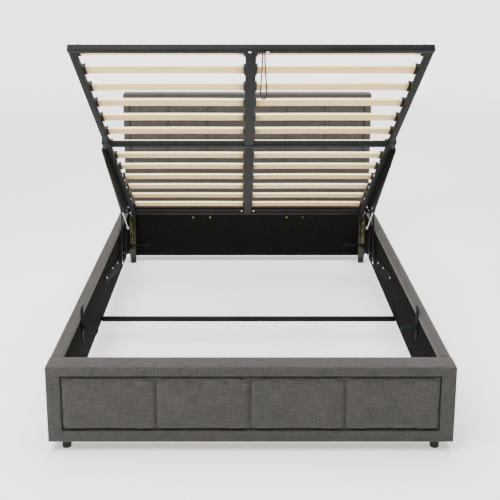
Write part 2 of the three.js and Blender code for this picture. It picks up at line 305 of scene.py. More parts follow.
def makeBirch():
    # Laminated birch slat: pale cream with long faint grain, and ply lines on its edges. The faces of those
    # edges are painted lighter all over, a painted highlight where the light catches them.
    material, tree, shader = newMaterial("laminatedBirch")
    uv = addNode(tree, "ShaderNodeUVMap", uv_map="weave").outputs["UV"]
    growthLong, growthWide = birchLook["growthMm"]
    grain = addNode(tree, "ShaderNodeTexNoise", {
        "Vector": mapped(tree, uv, (1000 / growthLong, 1000 / growthWide, 1)),
        "Scale": 1.0, "Detail": 5.0, "Roughness": 0.6, "Distortion": 0.5,
    }).outputs["Fac"]
    tone = addNode(tree, "ShaderNodeAttribute", attribute_name="slatTone").outputs["Fac"]
    shade = math2(tree, "ADD", math2(tree, "MULTIPLY", grain, 0.8),
                  math2(tree, "MULTIPLY", tone, 0.35))
    wood = ramp(tree, shade, toLinear(birchLook["pale"]), toLinear(birchLook["deep"]), 0.3, 0.85)
    edge = addNode(tree, "ShaderNodeAttribute", attribute_name="plyEdge")
    layer = addNode(tree, "ShaderNodeTexWave", {
        "Vector": mapped(tree, uv, (0, 1 / (birchLook["plyMm"] * mm), 1)),
        "Scale": 1 / math.tau * math.pi, "Distortion": 0.3,
    }, bands_direction="Y").outputs["Fac"]
    line = math2(tree, "MULTIPLY", math2(tree, "GREATER_THAN", layer, 0.82), edge.outputs["Fac"])
    faded = math2(tree, "MULTIPLY", line, 0.25)
    # Painted highlight: the edge faces take a lighter cream in place of the grain, standing in for the
    # light falling on them
    edgesPaintedLit = addNode(tree, "ShaderNodeMix", {
        "Factor": edge.outputs["Fac"], "A": wood, "B": toLinear(birchLook["litEdgeHighlight"]),
    }, data_type="RGBA").outputs["Result"]
    colour = addNode(tree, "ShaderNodeMix", {
        "Factor": faded, "A": edgesPaintedLit, "B": toLinear(birchLook["glueLine"]),
    }, data_type="RGBA")
    bump = addNode(tree, "ShaderNodeBump", {"Height": grain, "Strength": 0.12, "Distance": 0.0005})
    tree.links.new(colour.outputs["Result"], shader.inputs["Base Color"])
    tree.links.new(bump.outputs["Normal"], shader.inputs["Normal"])
    setShader(shader, Roughness=0.5, IOR=1.5)
    return material


def makeBraid():
    # Braided polyester cord: black, matt, with the diagonal of its plaits.
    material, tree, shader = newMaterial("braidedCord")
    uv = addNode(tree, "ShaderNodeUVMap", uv_map="weave").outputs["UV"]
    plait = addNode(tree, "ShaderNodeTexWave", {
        "Vector": mapped(tree, uv, (400, 400, 1)), "Scale": 1.0, "Distortion": 0.4,
    }, bands_direction="DIAGONAL").outputs["Fac"]
    bump = addNode(tree, "ShaderNodeBump", {"Height": plait, "Strength": 0.6, "Distance": 0.0005})
    colour = ramp(tree, plait, toLinear("0c0c0c"), toLinear("232323"))
    tree.links.new(colour, shader.inputs["Base Color"])
    tree.links.new(bump.outputs["Normal"], shader.inputs["Normal"])
    setShader(shader, Roughness=0.8, IOR=1.5)
    return material


def makeThread():
    # Spun polyester sewing thread: a shade darker than the linen, dull, lightly twisted.
    material, tree, shader = newMaterial("sewingThread")
    place = addNode(tree, "ShaderNodeTexCoord").outputs["Object"]
    twist = addNode(tree, "ShaderNodeTexNoise", {"Vector": place, "Scale": 900.0}).outputs["Fac"]
    tree.links.new(ramp(tree, twist, toLinear("3a3531"), toLinear("5a534c"), 0.3, 0.7),
                   shader.inputs["Base Color"])
    setShader(shader, Roughness=0.75)
    return material


linen = makeLinen()
felt = makeFelt()
powderCoat = makePowderCoat("powderCoatedSteel", 0.52, 0.66, 0.12)
mattCoat = makePowderCoat("mattCoatedPlate", 0.75, 0.9, 0.08)
yellowZinc = makePlated("yellowPassivatedZinc", "54523a", "85815f", 0.3, 3.0)
brightZinc = makePlated("brightZincPlate", "b8babd", "d6d7d8", 0.3, 2.0)
chrome = makePlated("hardChromedRod", "c4c6c9", "dcdedf", 0.12, 1.2)
darkZinc = makePlated("agedZincPlate", "2b2c27", "45453b", 0.45, 3.0)
plastic = makePlastic()
birch = makeBirch()
braid = makeBraid()
thread = makeThread()
print("materials made")


# Surfaces. A patch is (points, quads): arrays worked out on a grid of two parameters.

def gridPatch(points, closedRows=False, closedColumns=False):
    # The quad at (i, j) joins the points (i, j), (i, j+1), (i+1, j+1) and (i+1, j);
    # a closed direction wraps round to its first row or column
    rows, columns = points.shape[:2]
    i, j = np.meshgrid(np.arange(rows - (not closedRows)),
                       np.arange(columns - (not closedColumns)), indexing="ij")
    below, beside = (i + 1) % rows, (j + 1) % columns
    quads = np.stack([i * columns + j, i * columns + beside,
                      below * columns + beside, below * columns + j], -1)
    return points.reshape(-1, 3), quads.reshape(-1, 4)


def joined(patches):
    counts = np.cumsum([0] + [len(points) for points, quads in patches])
    points = np.concatenate([points for points, quads in patches])
    quads = np.concatenate([quads + start for (_, quads), start in zip(patches, counts)])
    return points, quads


def softBox(low, high, radius, steps=1):
    # Each face is a grid on the box; a point is its nearest point of the box shrunk by
    # the radius, plus the radius along the line from there to the grid's own point
    low, high = np.asarray(low, float), np.asarray(high, float)
    centre, half = (low + high) / 2, (high - low) / 2
    radius = min(radius, *(half * 0.98))
    turn = np.tan(np.linspace(0, math.pi / 4, steps + 1))
    spans = [np.concatenate([-(h - radius) - radius * turn[::-1], h - radius + radius * turn])
             for h in half]
    patches = []
    for axis in range(3):
        first, second = [a for a in range(3) if a != axis]
        for side in (-1, 1):
            a, b = np.meshgrid(spans[first], spans[second], indexing="ij")
            face = np.empty(a.shape + (3,))
            face[..., first], face[..., second], face[..., axis] = a, b, side * half[axis]
            inner = np.clip(face, radius - half, half - radius)
            away = face - inner
            away /= np.linalg.norm(away, axis=-1, keepdims=True)
            patches.append(gridPatch(centre + inner + radius * away))
    return joined(patches)


def lathe(profile, axis, origin, sides=20):
    # Profile points (distance out, distance along) are turned about the axis; the two
    # directions square to the axis carry the cosine and the sine
    profile = np.asarray(profile, float)
    axis = np.asarray(axis, float) / np.linalg.norm(axis)
    helper = np.array([1.0, 0, 0]) if abs(axis[0]) < 0.9 else np.array([0, 1.0, 0])
    across = np.cross(axis, helper)
    across /= np.linalg.norm(across)
    up = np.cross(axis, across)
    angle = np.linspace(0, math.tau, sides, endpoint=False)[None, :, None]
    out = profile[:, 0][:, None, None]
    along = profile[:, 1][:, None, None]
    points = np.asarray(origin) + out * (np.cos(angle) * across + np.sin(angle) * up) + along * axis
    return gridPatch(points, closedColumns=True)


def weaveMap(mesh):
    # Flat map in metres: each face drops the axis that it faces most
    index = np.empty(len(mesh.loops), np.int32)
    place = np.empty(len(mesh.vertices) * 3)
    normal = np.empty(len(mesh.polygons) * 3)
    sides = np.empty(len(mesh.polygons), np.int32)
    mesh.loops.foreach_get("vertex_index", index)
    mesh.vertices.foreach_get("co", place)
    mesh.polygons.foreach_get("normal", normal)
    mesh.polygons.foreach_get("loop_total", sides)
    facing = np.abs(normal.reshape(-1, 3)).argmax(-1).repeat(sides)
    pairs = np.array([[1, 2], [0, 2], [0, 1]])[facing]
    corner = place.reshape(-1, 3)[index]
    rows = np.arange(len(index))
    flat = np.stack([corner[rows, pairs[:, 0]], corner[rows, pairs[:, 1]]], -1)
    layer = mesh.uv_layers.get("weave") or mesh.uv_layers.new(name="weave")
    layer.data.foreach_set("uv", flat.astype(np.float32).ravel())


def makePiece(name, patch, material, body, weave=None):
    # Builds the mesh, welds the grids' shared edges and turns every face outwards
    points, quads = patch
    mesh = bpy.data.meshes.new(name)
    mesh.from_pydata(points, [], quads.tolist())
    if weave is not None:
        layer = mesh.uv_layers.new(name="weave")
        layer.data.foreach_set("uv", np.asarray(weave, np.float32).ravel())
    work = bmesh.new()
    work.from_mesh(mesh)
    bmesh.ops.remove_doubles(work, verts=work.verts, dist=2e-6)
    bmesh.ops.recalc_face_normals(work, faces=work.faces)
    work.to_mesh(mesh)
    work.free()
    if weave is None:
        weaveMap(mesh)
    mesh.materials.append(material)
    mesh.polygons.foreach_set("use_smooth", np.ones(len(mesh.polygons), bool))
    made = bpy.data.objects.new(name, mesh)
    bpy.context.scene.collection.objects.link(made)
    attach(made, body)
    return made


def sharpened(made, degrees=40):
    # Smooth shading stops where two faces meet at more than this angle
    work = bmesh.new()
    work.from_mesh(made.data)
    for edge in work.edges:
        edge.smooth = edge.calc_face_angle(0) < math.radians(degrees)
    work.to_mesh(made.data)
    work.free()
    return made


def refined(node, material, width, body, steps=2, cuts=(), lining=None):
    # A copy of a CAD part with its edges rounded, which stands for the part. A cut is
    # (point, direction) and splits faces, so that a lining can end at it.
    mesh = frame["nodes"][node].data.copy()
    made = bpy.data.objects.new(node + "_finish", mesh)
    bpy.context.scene.collection.objects.link(made)
    work = bmesh.new()
    work.from_mesh(mesh)
    bmesh.ops.remove_doubles(work, verts=work.verts, dist=1e-5)
    bmesh.ops.dissolve_limit(work, angle_limit=math.radians(0.5), verts=work.verts, edges=work.edges)
    for point, direction in cuts:
        everything = work.verts[:] + work.edges[:] + work.faces[:]
        bmesh.ops.bisect_plane(work, geom=everything, plane_co=point, plane_no=direction)
    bmesh.ops.recalc_face_normals(work, faces=work.faces)
    work.to_mesh(mesh)
    work.free()
    mesh.materials.clear()
    mesh.materials.append(material)
    mesh.polygons.foreach_set("material_index", np.zeros(len(mesh.polygons), np.int32))
    mesh.polygons.foreach_set("use_smooth", np.ones(len(mesh.polygons), bool))
    bevel = made.modifiers.new("edges", "BEVEL")
    bevel.width = width
    bevel.segments = steps
    bevel.limit_method = "ANGLE"
    bevel.angle_limit = math.radians(32)
    bevel.harden_normals = True
    bpy.context.view_layer.update()
    graph = bpy.context.evaluated_depsgraph_get()
    made.data = bpy.data.meshes.new_from_object(made.evaluated_get(graph))
    made.data.name = node + "_finish"
    made.modifiers.clear()
    weaveMap(made.data)
    if lining:
        count = len(made.data.polygons)
        centre, normal = np.empty(count * 3), np.empty(count * 3)
        made.data.polygons.foreach_get("center", centre)
        made.data.polygons.foreach_get("normal", normal)
        lined = lining(centre.reshape(-1, 3), normal.reshape(-1, 3))
        made.data.materials.append(felt)
        made.data.polygons.foreach_set("material_index", lined.astype(np.int32))
    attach(made, body)
    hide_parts(node)
    return made


sides = (("right", 1), ("left", -1))


# Pull strap: a thin cord loop that hangs from the foot-end tube

strapLook = {
    "across": 46 * mm, "radius": 2.5 * mm, "drop": 168 * mm, "spread": 11 * mm, "sides": 10,
    "route": [(-0.35, 0), (-0.4, 0.12), (-0.5, 0.3), (-0.7, 0.5), (-0.92, 0.7), (-1, 0.86),
              (-0.72, 0.96), (0, 1), (0.72, 0.96), (1, 0.86), (0.92, 0.7), (0.7, 0.5),
              (0.5, 0.3), (0.4, 0.12), (0.35, 0)],
}


def smoothLine(points, perSpan=6):
    # Catmull-Rom: between two points the line follows the cubic whose end slopes are
    # half the difference of the neighbours on either side
    points = np.asarray(points, float)
    padded = np.concatenate([2 * points[:1] - points[1:2], points, 2 * points[-1:] - points[-2:-1]])
    t = np.linspace(0, 1, perSpan, endpoint=False)[None, :, None]
    a, b, c, d = [padded[k:len(padded) - 3 + k][:, None, :] for k in range(4)]
    line = 0.5 * (2 * b + (c - a) * t + (2 * a - 5 * b + 4 * c - d) * t ** 2
                  + (3 * b - a - 3 * c + d) * t ** 3)
    return np.concatenate([line.reshape(-1, 3), points[-1:]])


def makeStrap():
    # A ring of points carried along the loop, which lies in a plane square to Y
    top = onPlatform([strapLook["across"], platformReach, -tubeSize / 2 - 0.3 * mm])
    top[2] -= 4 * mm
    route = np.array(strapLook["route"])
    ends = np.stack([top[0] + route[:, 0] * strapLook["spread"],
                     np.full(len(route), top[1]),
                     top[2] - route[:, 1] * strapLook["drop"]], -1)
    line = smoothLine(ends)
    along = np.gradient(line, axis=0)
    along /= np.linalg.norm(along, axis=1, keepdims=True)
    outward = np.cross(along, [0, 1.0, 0])
    angle = np.linspace(0, math.tau, strapLook["sides"], endpoint=False)
    ring = (np.cos(angle)[None, :, None] * outward[:, None, :]
            + np.sin(angle)[None, :, None] * np.array([0, 1.0, 0]))
    points = line[:, None, :] + strapLook["radius"] * ring
    closed = np.concatenate([np.repeat(line[:1, None], len(angle), 1), points,
                             np.repeat(line[-1:, None], len(angle), 1)])
    run = np.concatenate([[0], np.cumsum(np.linalg.norm(np.diff(line, axis=0), axis=1))])
    run = np.concatenate([run[:1], run, run[-1:]])
    step = math.tau * strapLook["radius"] / strapLook["sides"]
    i, j = np.meshgrid(np.arange(len(run) - 1), np.arange(strapLook["sides"]), indexing="ij")
    weave = np.stack([np.stack([run[i + di], (j + dj) * step], -1)
                      for di, dj in ((0, 0), (0, 1), (1, 1), (1, 0))], -2)
    strap = makePiece("pull_cord_loop", gridPatch(closed, closedColumns=True), braid, "platform",
                      weave)
    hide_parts("pull_strap")


makeStrap()
print("cord made")


# Upholstery: linen over the boards and rails, black lining on the faces inside the bed

boardLook = {"edgeRadius": 13 * mm, "headRadius": 5 * mm, "edgeSteps": 4,
             "liningTop": 318 * mm, "railPlane": 706 * mm, "footPlane": -990 * mm,
             "backPlane": 1070 * mm}


def insideRail(centre, normal):
    return (np.abs(normal[:, 0]) > 0.9) & (np.abs(centre[:, 0]) < boardLook["railPlane"]) & (
        centre[:, 2] < boardLook["liningTop"])


def insideFootboard(centre, normal):
    return (normal[:, 1] > 0.9) & (centre[:, 2] < boardLook["liningTop"]) & (
        centre[:, 1] > boardLook["footPlane"])


def behindHeadboard(centre, normal):
    return (normal[:, 1] > 0.9) & (centre[:, 1] > boardLook["backPlane"])


def makeBoards():
    cut = [((0, 0, boardLook["liningTop"]), (0, 0, 1))]
    radius, steps = boardLook["edgeRadius"], boardLook["edgeSteps"]
    refined("footboard", linen, radius, "bed_base", steps, cut, insideFootboard)
    refined("headboard", linen, boardLook["headRadius"], "bed_base", steps, (), behindHeadboard)
    for side, sign in sides:
        rail = refined(side + "_side_rail", linen, radius * 0.8, "bed_base", steps, cut, insideRail)


makeBoards()
print("boards made")


# Padded panels, sewn into sections

padLook = {
    "footboard_padding": {"columns": 4, "rows": 1, "steps": (44, 34), "dip": 12 * mm, "swell": 3.5 * mm},
    "headboard_padding": {"columns": 6, "rows": 2, "steps": (30, 28), "dip": 12 * mm, "swell": 4 * mm},
}
padFeel = {"crownPower": 18.0, "pressure": 4.0, "spareCloth": 0.035, "frames": 16}


def sectionSteps(count, steps):
    # Steps across sewn sections, closer together near each seam: half even, half the
    # cosine of an even turn
    even = np.linspace(0, 1, steps, endpoint=False)
    within = 0.35 * even + 0.65 * (0.5 - 0.5 * np.cos(math.pi * even))
    return np.append((np.arange(count)[:, None] + within).ravel(), count), np.append(
        np.tile(within, count), 1.0)


def padPatch(low, high, look):
    # The front stands back by the dip times one minus the two crowns' product; a crown
    # is (1 - |2s - 1| to the crown power) to the half, with s from 0 to 1 over a section
    alongX, s = sectionSteps(look["columns"], look["steps"][0])
    alongZ, t = sectionSteps(look["rows"], look["steps"][1])
    x = low[0] + (high[0] - low[0]) * alongX / look["columns"]
    z = low[2] + (high[2] - low[2]) * alongZ / look["rows"]
    crown = [np.sqrt(np.clip(1 - np.abs(2 * v - 1) ** padFeel["crownPower"], 0, 1)) for v in (s, t)]
    rise = crown[0][:, None] * crown[1][None, :]
    front = np.empty((len(x), len(z), 3))
    front[..., 0], front[..., 2] = x[:, None], z[None, :]
    front[..., 1] = low[1] + look["dip"] * (1 - rise) + 1.5 * mm
    back = front.copy()
    back[..., 1] = high[1]
    depth = np.linspace(0, 1, 4)[:, None, None]
    skirts = [gridPatch(front[edge] * (1 - depth) + back[edge] * depth)
              for edge in (np.s_[0, :], np.s_[-1, :], np.s_[:, 0], np.s_[:, -1])]
    return joined([gridPatch(front), gridPatch(back)] + skirts)


def inflate(made, seamDepth, cap):
    # Cloth under pressure, held at its seams and back, with no point moved past the cap
    count = len(made.data.vertices)
    before = np.empty(count * 3)
    made.data.vertices.foreach_get("co", before)
    before = before.reshape(-1, 3)
    held = np.nonzero(before[:, 1] > seamDepth)[0]
    group = made.vertex_groups.new(name="held")
    group.add(held.tolist(), 1.0, "REPLACE")
    cloth = made.modifiers.new("cloth", "CLOTH")
    cloth.settings.use_pressure = True
    cloth.settings.uniform_pressure_force = padFeel["pressure"]
    cloth.settings.vertex_group_mass = "held"
    cloth.settings.effector_weights.gravity = 0
    cloth.settings.shrink_min = -padFeel["spareCloth"]
    cloth.settings.bending_stiffness = 0.15
    cloth.settings.quality = 4
    cloth.collision_settings.use_collision = False
    scene = bpy.context.scene
    for step in range(1, padFeel["frames"] + 1):
        scene.frame_set(step)
    graph = bpy.context.evaluated_depsgraph_get()
    after = np.empty(count * 3)
    made.evaluated_get(graph).data.vertices.foreach_get("co", after)
    move = after.reshape(-1, 3) - before
    far = np.linalg.norm(move, axis=1, keepdims=True)
    move *= np.minimum(1, cap / np.maximum(far, 1e-9))
    made.modifiers.clear()
    made.vertex_groups.clear()
    scene.frame_set(1)
    made.data.vertices.foreach_set("co", (before + move).ravel())
    made.data.update()


def stitchRow(starts, direction, outward, length, radius):
    # One short thread per start: a ring turned round the run, thin at both ends
    profile = np.array([[0, 0], [0.8, 0.12], [1, 0.5], [0.8, 0.88], [0, 1.0]])
    angle = np.linspace(0, math.tau, 5, endpoint=False)
    across = np.cross(direction, outward)
    ring = np.cos(angle)[:, None] * np.asarray(outward) + np.sin(angle)[:, None] * across
    thread = (profile[:, 0, None, None] * radius * ring[None]
              + profile[:, 1, None, None] * length * np.asarray(direction))
    bow = np.sin(profile[:, 1] * math.pi)[:, None, None] * radius * 0.8 * np.asarray(outward)
    points, quads = gridPatch(thread + bow, closedColumns=True)
    every = np.asarray(starts)[:, None, :] + points[None]
    faces = quads[None] + (np.arange(len(starts)) * len(points))[:, None, None]
    return every.reshape(-1, 3), faces.reshape(-1, 4)


def makePad(node):
    look = padLook[node]
    low, high = corners(node)
    made = makePiece(node + "_sewn", padPatch(low, high, look), linen, "bed_base")
    seamDepth = low[1] + look["dip"] * 0.93 + 1.5 * mm
    inflate(made, seamDepth, look["swell"])
    weaveMap(made.data)
    smooth = made.modifiers.new("smooth", "SUBSURF")
    smooth.levels = smooth.render_levels = 1
    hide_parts(node)
    y = low[1] + look["dip"] + 0.9 * mm
    pitch = 6.5 * mm
    patches = []
    for k in range(1, look["columns"]):
        z = np.arange(low[2] + 8 * mm, high[2] - 10 * mm, pitch)
        x = low[0] + (high[0] - low[0]) * k / look["columns"]
        starts = np.stack([np.full(len(z), x), np.full(len(z), y), z], -1)
        patches.append(stitchRow(starts, (0, 0, 1.0), (0, -1.0, 0), 4.6 * mm, 0.55 * mm))
    for k in range(1, look["rows"]):
        x = np.arange(low[0] + 8 * mm, high[0] - 10 * mm, pitch)
        z = low[2] + (high[2] - low[2]) * k / look["rows"]
        starts = np.stack([x, np.full(len(x), y), np.full(len(x), z)], -1)
        patches.append(stitchRow(starts, (1.0, 0, 0), (0, -1.0, 0), 4.6 * mm, 0.55 * mm))
    makePiece(node + "_stitches", joined(patches), thread, "bed_base")


makePad("footboard_padding")
makePad("headboard_padding")
print("padding made")


# Platform frame: capped square tubes, joint sleeves and end plates

tubeLook = {"corner": 2.6 * mm, "cap": 1.6 * mm, "sleeve": 34 * mm, "sleeveWall": 1.6 * mm,
            "knuckle": 10 * mm}


def platformBox(low, high, radius, steps=2):
    points, quads = softBox(low, high, radius, steps)
    return onPlatform(points), quads


half = tubeSize / 2
crossbarReach = 1021 * mm
railHalf = 20 * mm


def makeTubes():
    wide, corner = platformHalf, tubeLook["corner"]
    inside = wide - tubeSize
    far = platformReach
    tubes = {
        "head_end_tube": ((-wide, -half, -half), (wide, half, half)),
        "foot_end_tube": ((-wide, far - half, -half), (wide, far + half, half)),
        "right_side_tube": ((inside, half, -half), (wide, far - half, half)),
        "left_side_tube": ((-wide, half, -half), (-inside, far - half, half)),
        "middle_crossbar": ((-inside, crossbarReach - half, -half), (inside, crossbarReach + half, half)),
        "centre_rail_head_half": ((-railHalf, half, -half), (railHalf, crossbarReach - half, half)),
        "centre_rail_foot_half": ((-railHalf, crossbarReach + half, -half),
                                  (railHalf, far - half, half)),
    }
    for node, (low, high) in tubes.items():
        made = makePiece(node + "_coated", platformBox(low, high, corner), powderCoat, "platform")
        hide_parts(node)


def makeTubeCaps():
    # Ribbed plugs in the four open tube ends
    cap = tubeLook["cap"]
    inner = half - 0.6 * mm
    patches = [platformBox((sign * platformHalf - cap * (sign < 0), reach - inner, -inner),
                           (sign * platformHalf + cap * (sign > 0), reach + inner, inner), 1 * mm)
               for side, sign in sides for reach in (0, platformReach)]
    makePiece("tube_end_plugs", joined(patches), plastic, "platform")


def makeSleeves():
    # Folded sleeves over the middle joints, and thin end plates at the corners and rail ends
    wall, reachHalf = tubeLook["sleeveWall"], tubeLook["sleeve"]
    low, high = -half - wall, half + wall
    patches = []
    for side, sign in sides:
        a, b = sorted((sign * (platformHalf - tubeSize - wall),
                       sign * (platformHalf + tubeLook["knuckle"])))
        patches.append(platformBox((a, crossbarReach - reachHalf + 4 * mm, low),
                                   (b, crossbarReach + reachHalf + 8 * mm, high), 1.6 * mm))
        c, d = sorted((sign * (platformHalf - tubeSize - 40 * mm), sign * (platformHalf - tubeSize)))
        for near, far in ((half, half + 3 * mm), (platformReach - half - 3 * mm, platformReach - half)):
            patches.append(platformBox((c, near, low + 3 * mm), (d, far, half - 4 * mm), 0.8 * mm))
    patches.append(platformBox((-34 * mm, crossbarReach - half - wall, low),
                               (34 * mm, crossbarReach + half + wall, half - 4 * mm), 1.2 * mm))
    for reach, out in ((half, 1), (platformReach - half, -1)):
        e, f = sorted((reach, reach + out * 2.4 * mm))
        patches.append(platformBox((-44 * mm, e, -half + 1 * mm), (44 * mm, f, half - 1 * mm), 0.8 * mm))
    makePiece("frame_joint_sleeves", joined(patches), powderCoat, "platform")


makeTubes()
makeTubeCaps()
makeSleeves()
print("platform frame made")


# Slats and their holders

slatLook = {
    "pairs": 13, "first": 87.5 * mm, "pitch": 148.7 * mm, "width": 54 * mm, "thick": 12 * mm,
    "lift": 15 * mm, "inner": 17 * mm, "outer": 648 * mm, "corner": 2.4 * mm, "bow": 1.0 * mm,
}
slatReach = slatLook["first"] + slatLook["pitch"] * np.arange(slatLook["pairs"])


def roundedLoop(wide, tall, radius, steps=3):
    # A rectangle's four corners, each swept through a quarter turn at the radius
    turn = np.linspace(0, math.pi / 2, steps + 1)
    quarter = np.arange(4)[:, None] * math.pi / 2 + turn[None, :]
    signs = np.array([[1, 1], [-1, 1], [-1, -1], [1, -1]])[:, None, :]
    middles = signs * np.array([wide / 2 - radius, tall / 2 - radius])
    ring = middles + radius * np.stack([np.cos(quarter), np.sin(quarter)], -1)
    return ring.reshape(-1, 2)


def slatPatch(reach, sign):
    # A rounded section carried across, lifted by the bow times one minus the squared
    # distance from the slat's middle
    look = slatLook
    loop = roundedLoop(look["width"], look["thick"], look["corner"])
    spot = np.linspace(-1, 1, 15)
    x = (look["inner"] + look["outer"]) / 2 + spot * (look["outer"] - look["inner"]) / 2
    lift = look["lift"] + look["thick"] / 2 + look["bow"] * (1 - spot ** 2)
    rings = np.empty((len(x), len(loop), 3))
    rings[..., 0] = sign * x[:, None]
    rings[..., 1] = reach + loop[None, :, 0]
    rings[..., 2] = lift[:, None] + loop[None, :, 1]
    ends = [np.repeat(rings[e:e + 1].mean(1, keepdims=True), len(loop), 1) for e in (0, len(x) - 1)]
    points, quads = gridPatch(np.concatenate([ends[0], rings, ends[1]]), closedColumns=True)
    return onPlatform(points), quads


def makeSlats():
    seeded = np.random.default_rng(13)
    down = onPlatform([0, 1, 0]) - onPlatform([0, 0, 0])
    for number, reach in enumerate(slatReach, 1):
        for side, sign in sides:
            node = f"{side}_slat_{number:02d}"
            slat = makePiece(node + "_birch", slatPatch(reach, sign), birch, "platform")
            mesh = slat.data
            normal = np.empty(len(mesh.polygons) * 3)
            mesh.polygons.foreach_get("normal", normal)
            # Faces square to the reach are the ply edges; the birch material paints them lighter, a painted
            # highlight, and draws its ply lines on them
            edge = (np.abs(normal.reshape(-1, 3) @ down) > 0.8).astype(np.float32)
            mesh.attributes.new("plyEdge", "FLOAT", "FACE").data.foreach_set("value", edge)
            tone = np.full(len(mesh.polygons), seeded.random(), np.float32)
            mesh.attributes.new("slatTone", "FLOAT", "FACE").data.foreach_set("value", tone)
            flat = np.empty(len(mesh.loops) * 2, np.float32)
            mesh.uv_layers["weave"].data.foreach_get("uv", flat)
            flat = flat.reshape(-1, 2) + seeded.random(2).astype(np.float32) * 3
            mesh.uv_layers["weave"].data.foreach_set("uv", flat.ravel())
            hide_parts(node)


holderLook = {"hold": 19 * mm, "saddle": 10 * mm, "grow": 3.2 * mm, "floor": 2.3 * mm}


def makeHolders():
    # Moulded sockets over the slats' ends, with a rib on each side
    look = holderLook
    reachHalf = slatLook["width"] / 2 + look["grow"]
    low, high = slatLook["lift"] - look["floor"], slatLook["lift"] + slatLook["thick"] + look["grow"]
    for side, sign in sides:
        a, b = sorted((sign * (slatLook["outer"] - look["hold"]), sign * (platformHalf + 1 * mm)))
        ribA, ribB = sorted((sign * (slatLook["outer"] - look["hold"] - 2 * mm),
                             sign * (slatLook["outer"] - look["hold"] + 5 * mm)))
        patches = [platformBox((a, r - reachHalf, low), (b, r + reachHalf, high), 2.4 * mm)
                   for r in slatReach]
        patches += [platformBox((ribA, r - reachHalf - 1.5 * mm, low - 0.6 * mm),
                                (ribB, r + reachHalf + 1.5 * mm, high + 1.2 * mm), 1.2 * mm, 1)
                    for r in slatReach]
        makePiece(side + "_slat_holders", joined(patches), plastic, "platform")
    wide = slatLook["inner"] + look["saddle"]
    patches = [platformBox((-wide, r - reachHalf, low), (wide, r + reachHalf, high), 2.4 * mm)
               for r in slatReach]
    patches += [platformBox((-railHalf - 3 * mm, r - 12 * mm, -half * 0.2),
                            (railHalf + 3 * mm, r + 12 * mm, low + 1 * mm), 1.2 * mm, 1)
                for r in slatReach]
    makePiece("centre_slat_saddles", joined(patches), plastic, "platform")


makeSlats()
makeHolders()
print("slats made")


# Mechanism: the CAD parts with eased edges, their fasteners and the strut collars

steelLook = {
    "ease": 0.7 * mm, "rearPivot": (60 * mm, 20 * mm), "frontPivot": (160 * mm, 20 * mm),
    "strutPivot": (960 * mm, 0), "armFace": 660.3 * mm, "linkFace": 690 * mm,
    "strutFace": 673 * mm, "strutAxis": 678 * mm, "barrel": 720 * mm, "plateFace": 701.7 * mm,
    "armScrews": (240 * mm, 420 * mm, 600 * mm, 780 * mm),
    "plateScrews": ((-5, 15), (75, 10), (260, 55), (420, 85), (620, 110)),
}


def makeMechanism():
    bodies = {"base_plate": "bed_base", "rest_bracket": "bed_base", "rear_link": "rear_links",
              "front_link": "front_links", "lift_arm": "platform"}
    for side, sign in sides:
        for part, body in bodies.items():
            coat = mattCoat if body == "bed_base" or part == "lift_arm" else powderCoat
            made = refined(f"{side}_{part}", coat, steelLook["ease"], body)
        rod = refined(side + "_strut_rod", chrome, 0.4 * mm, "strut_rods")
        barrel = refined(side + "_strut_cylinder", powderCoat, 0.6 * mm, "strut_cylinders")
        for part in ("corner_leg", "front_foot"):
            leg = refined(f"{side}_{part}", plastic, 1.6 * mm, "bed_base")
    refined("cross_tube", powderCoat, 0.3 * mm, "bed_base")
    refined("head_panel", felt, 0.8 * mm, "bed_base")


def headProfile(radius, tall):
    # A domed button head with a socket sunk in its top
    return [(0, tall * 0.45), (0.36 * radius, tall * 0.45), (0.4 * radius, tall * 0.98),
            (0.62 * radius, tall), (0.84 * radius, tall * 0.78), (0.97 * radius, tall * 0.4),
            (radius, 0.12 * tall), (radius, 0), (0, 0)]


def makeFasteners(name, body, material, places, direction, radius, tall):
    patches = [lathe(headProfile(radius, tall), direction, place, 14) for place in places]
    sharpened(makePiece(name, joined(patches), material, body), 55)


def jointPlace(name):
    return next(np.array(j["pos_m"], float) for j in frame["joints"] if j["name"] == name)


def at(place, x):
    return np.array([x, place[1], place[2]])


def makePivots():
    # Bolt heads on every pivot and along the plates; a plate screw is (toward the foot
    # end, up) in mm from the rear link's base pivot
    look = steelLook
    pivots = [onPlatform([0, reach, -drop])
              for reach, drop in (look["rearPivot"], look["frontPivot"], look["strutPivot"])]
    base = jointPlace("platform_lift")
    swings = {
        "rear_pivot_head": ("rear_links", base, "linkFace", 8.5 * mm, 5 * mm),
        "front_pivot_head": ("front_links", jointPlace("front_link_swing"), "linkFace", 8.5 * mm, 5 * mm),
        "strut_pin_head": ("strut_rods", jointPlace("strut_swing"), "strutFace", 7 * mm, 4 * mm),
    }
    for side, sign in sides:
        inward = (-sign, 0, 0)
        armBolts = [at(place, sign * look["armFace"]) for place in pivots]
        makeFasteners(side + "_arm_pivot_heads", "platform", brightZinc, armBolts, inward, 8.5 * mm, 5 * mm)
        spots = onPlatform([[sign * (platformHalf - tubeSize), reach, 0] for reach in look["armScrews"]])
        makeFasteners(side + "_arm_screws", "platform", brightZinc, list(spots), inward, 5.5 * mm, 3.4 * mm)
        for name, (body, place, face, radius, tall) in swings.items():
            makeFasteners(f"{side}_{name}", body, brightZinc, [at(place, sign * look[face])],
                          inward, radius, tall)
        spots = [at((0, base[1] - away * mm, base[2] + up * mm), sign * look["plateFace"])
                 for away, up in look["plateScrews"]]
        makeFasteners(side + "_plate_screws", "bed_base", brightZinc, spots, inward, 5 * mm, 3 * mm)


